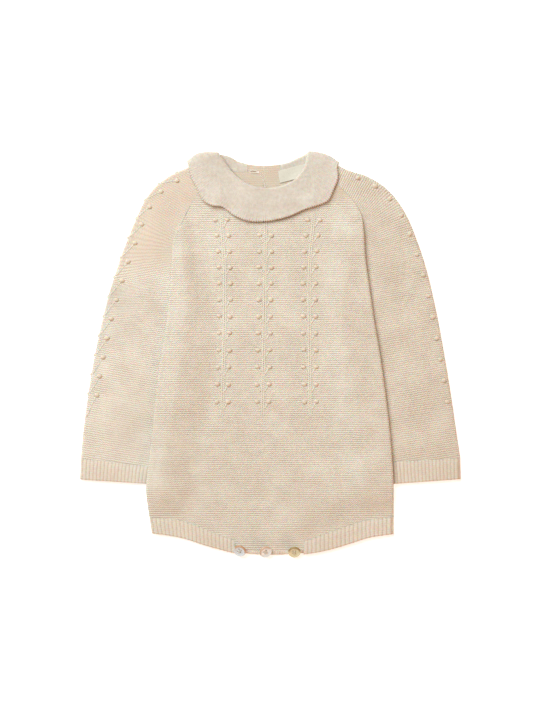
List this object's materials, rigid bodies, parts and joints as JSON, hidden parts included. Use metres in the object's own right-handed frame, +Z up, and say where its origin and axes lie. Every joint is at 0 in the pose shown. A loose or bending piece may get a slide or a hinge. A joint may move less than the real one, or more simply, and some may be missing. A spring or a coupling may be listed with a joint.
{
  "type": "baby romper",
  "caption": "Long-sleeved knitted baby romper laid flat, with bobble columns on the front and sleeves, a turned-out ruffle collar, ribbed cuffs and leg bands and a buttoned crotch.",
  "frame": {"origin": "on the surface that the romper lies on, under the middle of its body", "axes": "+Z up from the surface, +Y towards the neck, +X to the right as seen from above"},
  "size_m": [0.3818, 0.4075, 0.0148],
  "materials": {
    "wool": "heathered oatmeal wool knit",
    "woven_label": "woven off-white tape, bare",
    "pearl": "pearly four-hole button"
  },
  "bodies": {
    "root": {"front_panel": "wool", "back_panel": "wool", "sleeve_left": "wool", "sleeve_right": "wool", "cuff_left": "wool", "cuff_right": "wool", "leg_band_left": "wool", "leg_band_right": "wool", "collar": "wool", "label": "woven_label", "crotch_button_left": "pearl", "crotch_button_middle": "pearl", "crotch_button_right": "pearl", "back_button": "pearl"}
  },
  "joints": []
}
